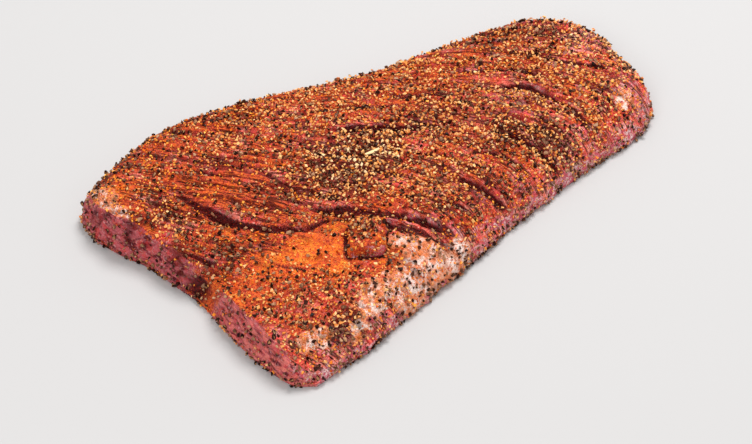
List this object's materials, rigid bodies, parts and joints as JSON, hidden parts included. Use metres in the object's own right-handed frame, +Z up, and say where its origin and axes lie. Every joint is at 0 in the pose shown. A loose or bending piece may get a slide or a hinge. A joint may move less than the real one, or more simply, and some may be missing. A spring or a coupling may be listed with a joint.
{
  "type": "raw skirt steak",
  "caption": "Long, flat raw beef steak with slanted muscle furrows, one cut end and one round end, coated in a coarse pepper and spice rub.",
  "frame": {"origin": "on the surface the steak lies on, under the middle of its outline", "axes": "+X along the steak from the cut end to the round end, +Y from the thin side to the thick side, +Z up"},
  "size_m": [0.3415, 0.2102, 0.0332],
  "materials": {
    "rubbed_meat": "moist raw beef under a fine red-orange spice powder",
    "cracked_pepper": "dull dark brown to black, with pale broken faces",
    "spice_granules": "dull cream, tan and orange granules of garlic, onion and chilli"
  },
  "bodies": {
    "root": {"steak": "rubbed_meat"}
  },
  "joints": []
}
